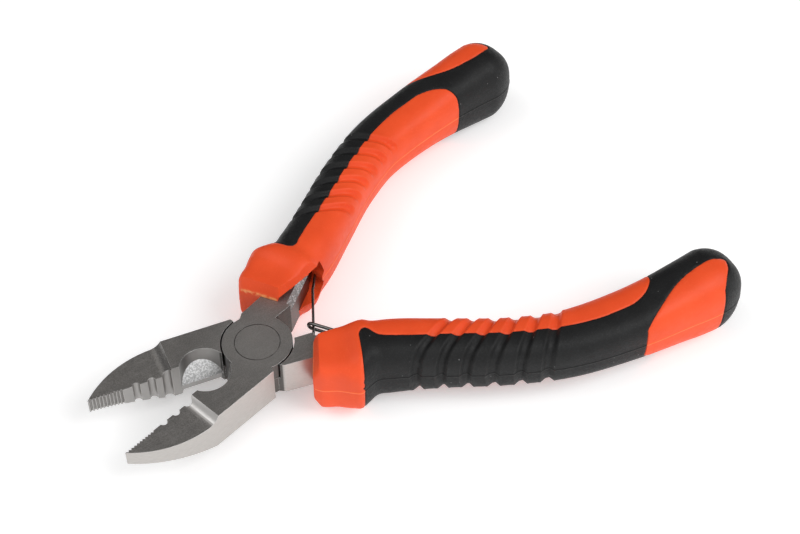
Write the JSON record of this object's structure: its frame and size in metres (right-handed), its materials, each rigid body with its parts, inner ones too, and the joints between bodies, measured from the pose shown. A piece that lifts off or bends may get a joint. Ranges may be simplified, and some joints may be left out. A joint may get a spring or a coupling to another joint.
{
  "type": "fishing pliers",
  "caption": "Small spring-opened combination pliers with toothed nose, half-moon cutter pocket, lap joint and two-colour moulded grips.",
  "frame": {"origin": "on the pivot axis, level with the flat underside of the head", "axes": "+X from the pivot towards the handles along the centre plane between them, +Y towards the upper lever's handle, +Z along the pivot axis, out of the face that carries the upper lever's boss"},
  "size_m": [0.1337, 0.0978, 0.0192],
  "materials": {
    "ground_steel": "blasted flats, bright ground sides",
    "rivet_steel": "ground flush, satin",
    "spring_steel": "drawn wire, satin",
    "orange_plastic": "satin moulded",
    "black_overmould": "fine matte moulded texture"
  },
  "bodies": {
    "lower_lever": {"lower_jaw_lever": "ground_steel", "pivot_rivet": "rivet_steel", "lower_spring_loop": "spring_steel", "lower_grip_core": "orange_plastic", "lower_grip_overmould": "black_overmould"},
    "upper_lever": {"upper_jaw_lever": "ground_steel", "upper_spring_wire": "spring_steel", "upper_grip_core": "orange_plastic", "upper_grip_overmould": "black_overmould"}
  },
  "joints": [
    {"name": "pivot", "type": "hinge", "parent": "lower_lever", "child": "upper_lever", "pos_m": [0, 0, 0.0045], "axis": [0, 0, 1], "range_deg": [-24.5, 11.5], "stiffness_Nm_per_rad": 1.2, "deforming": ["upper_spring_wire", "lower_spring_loop"]}
  ]
}
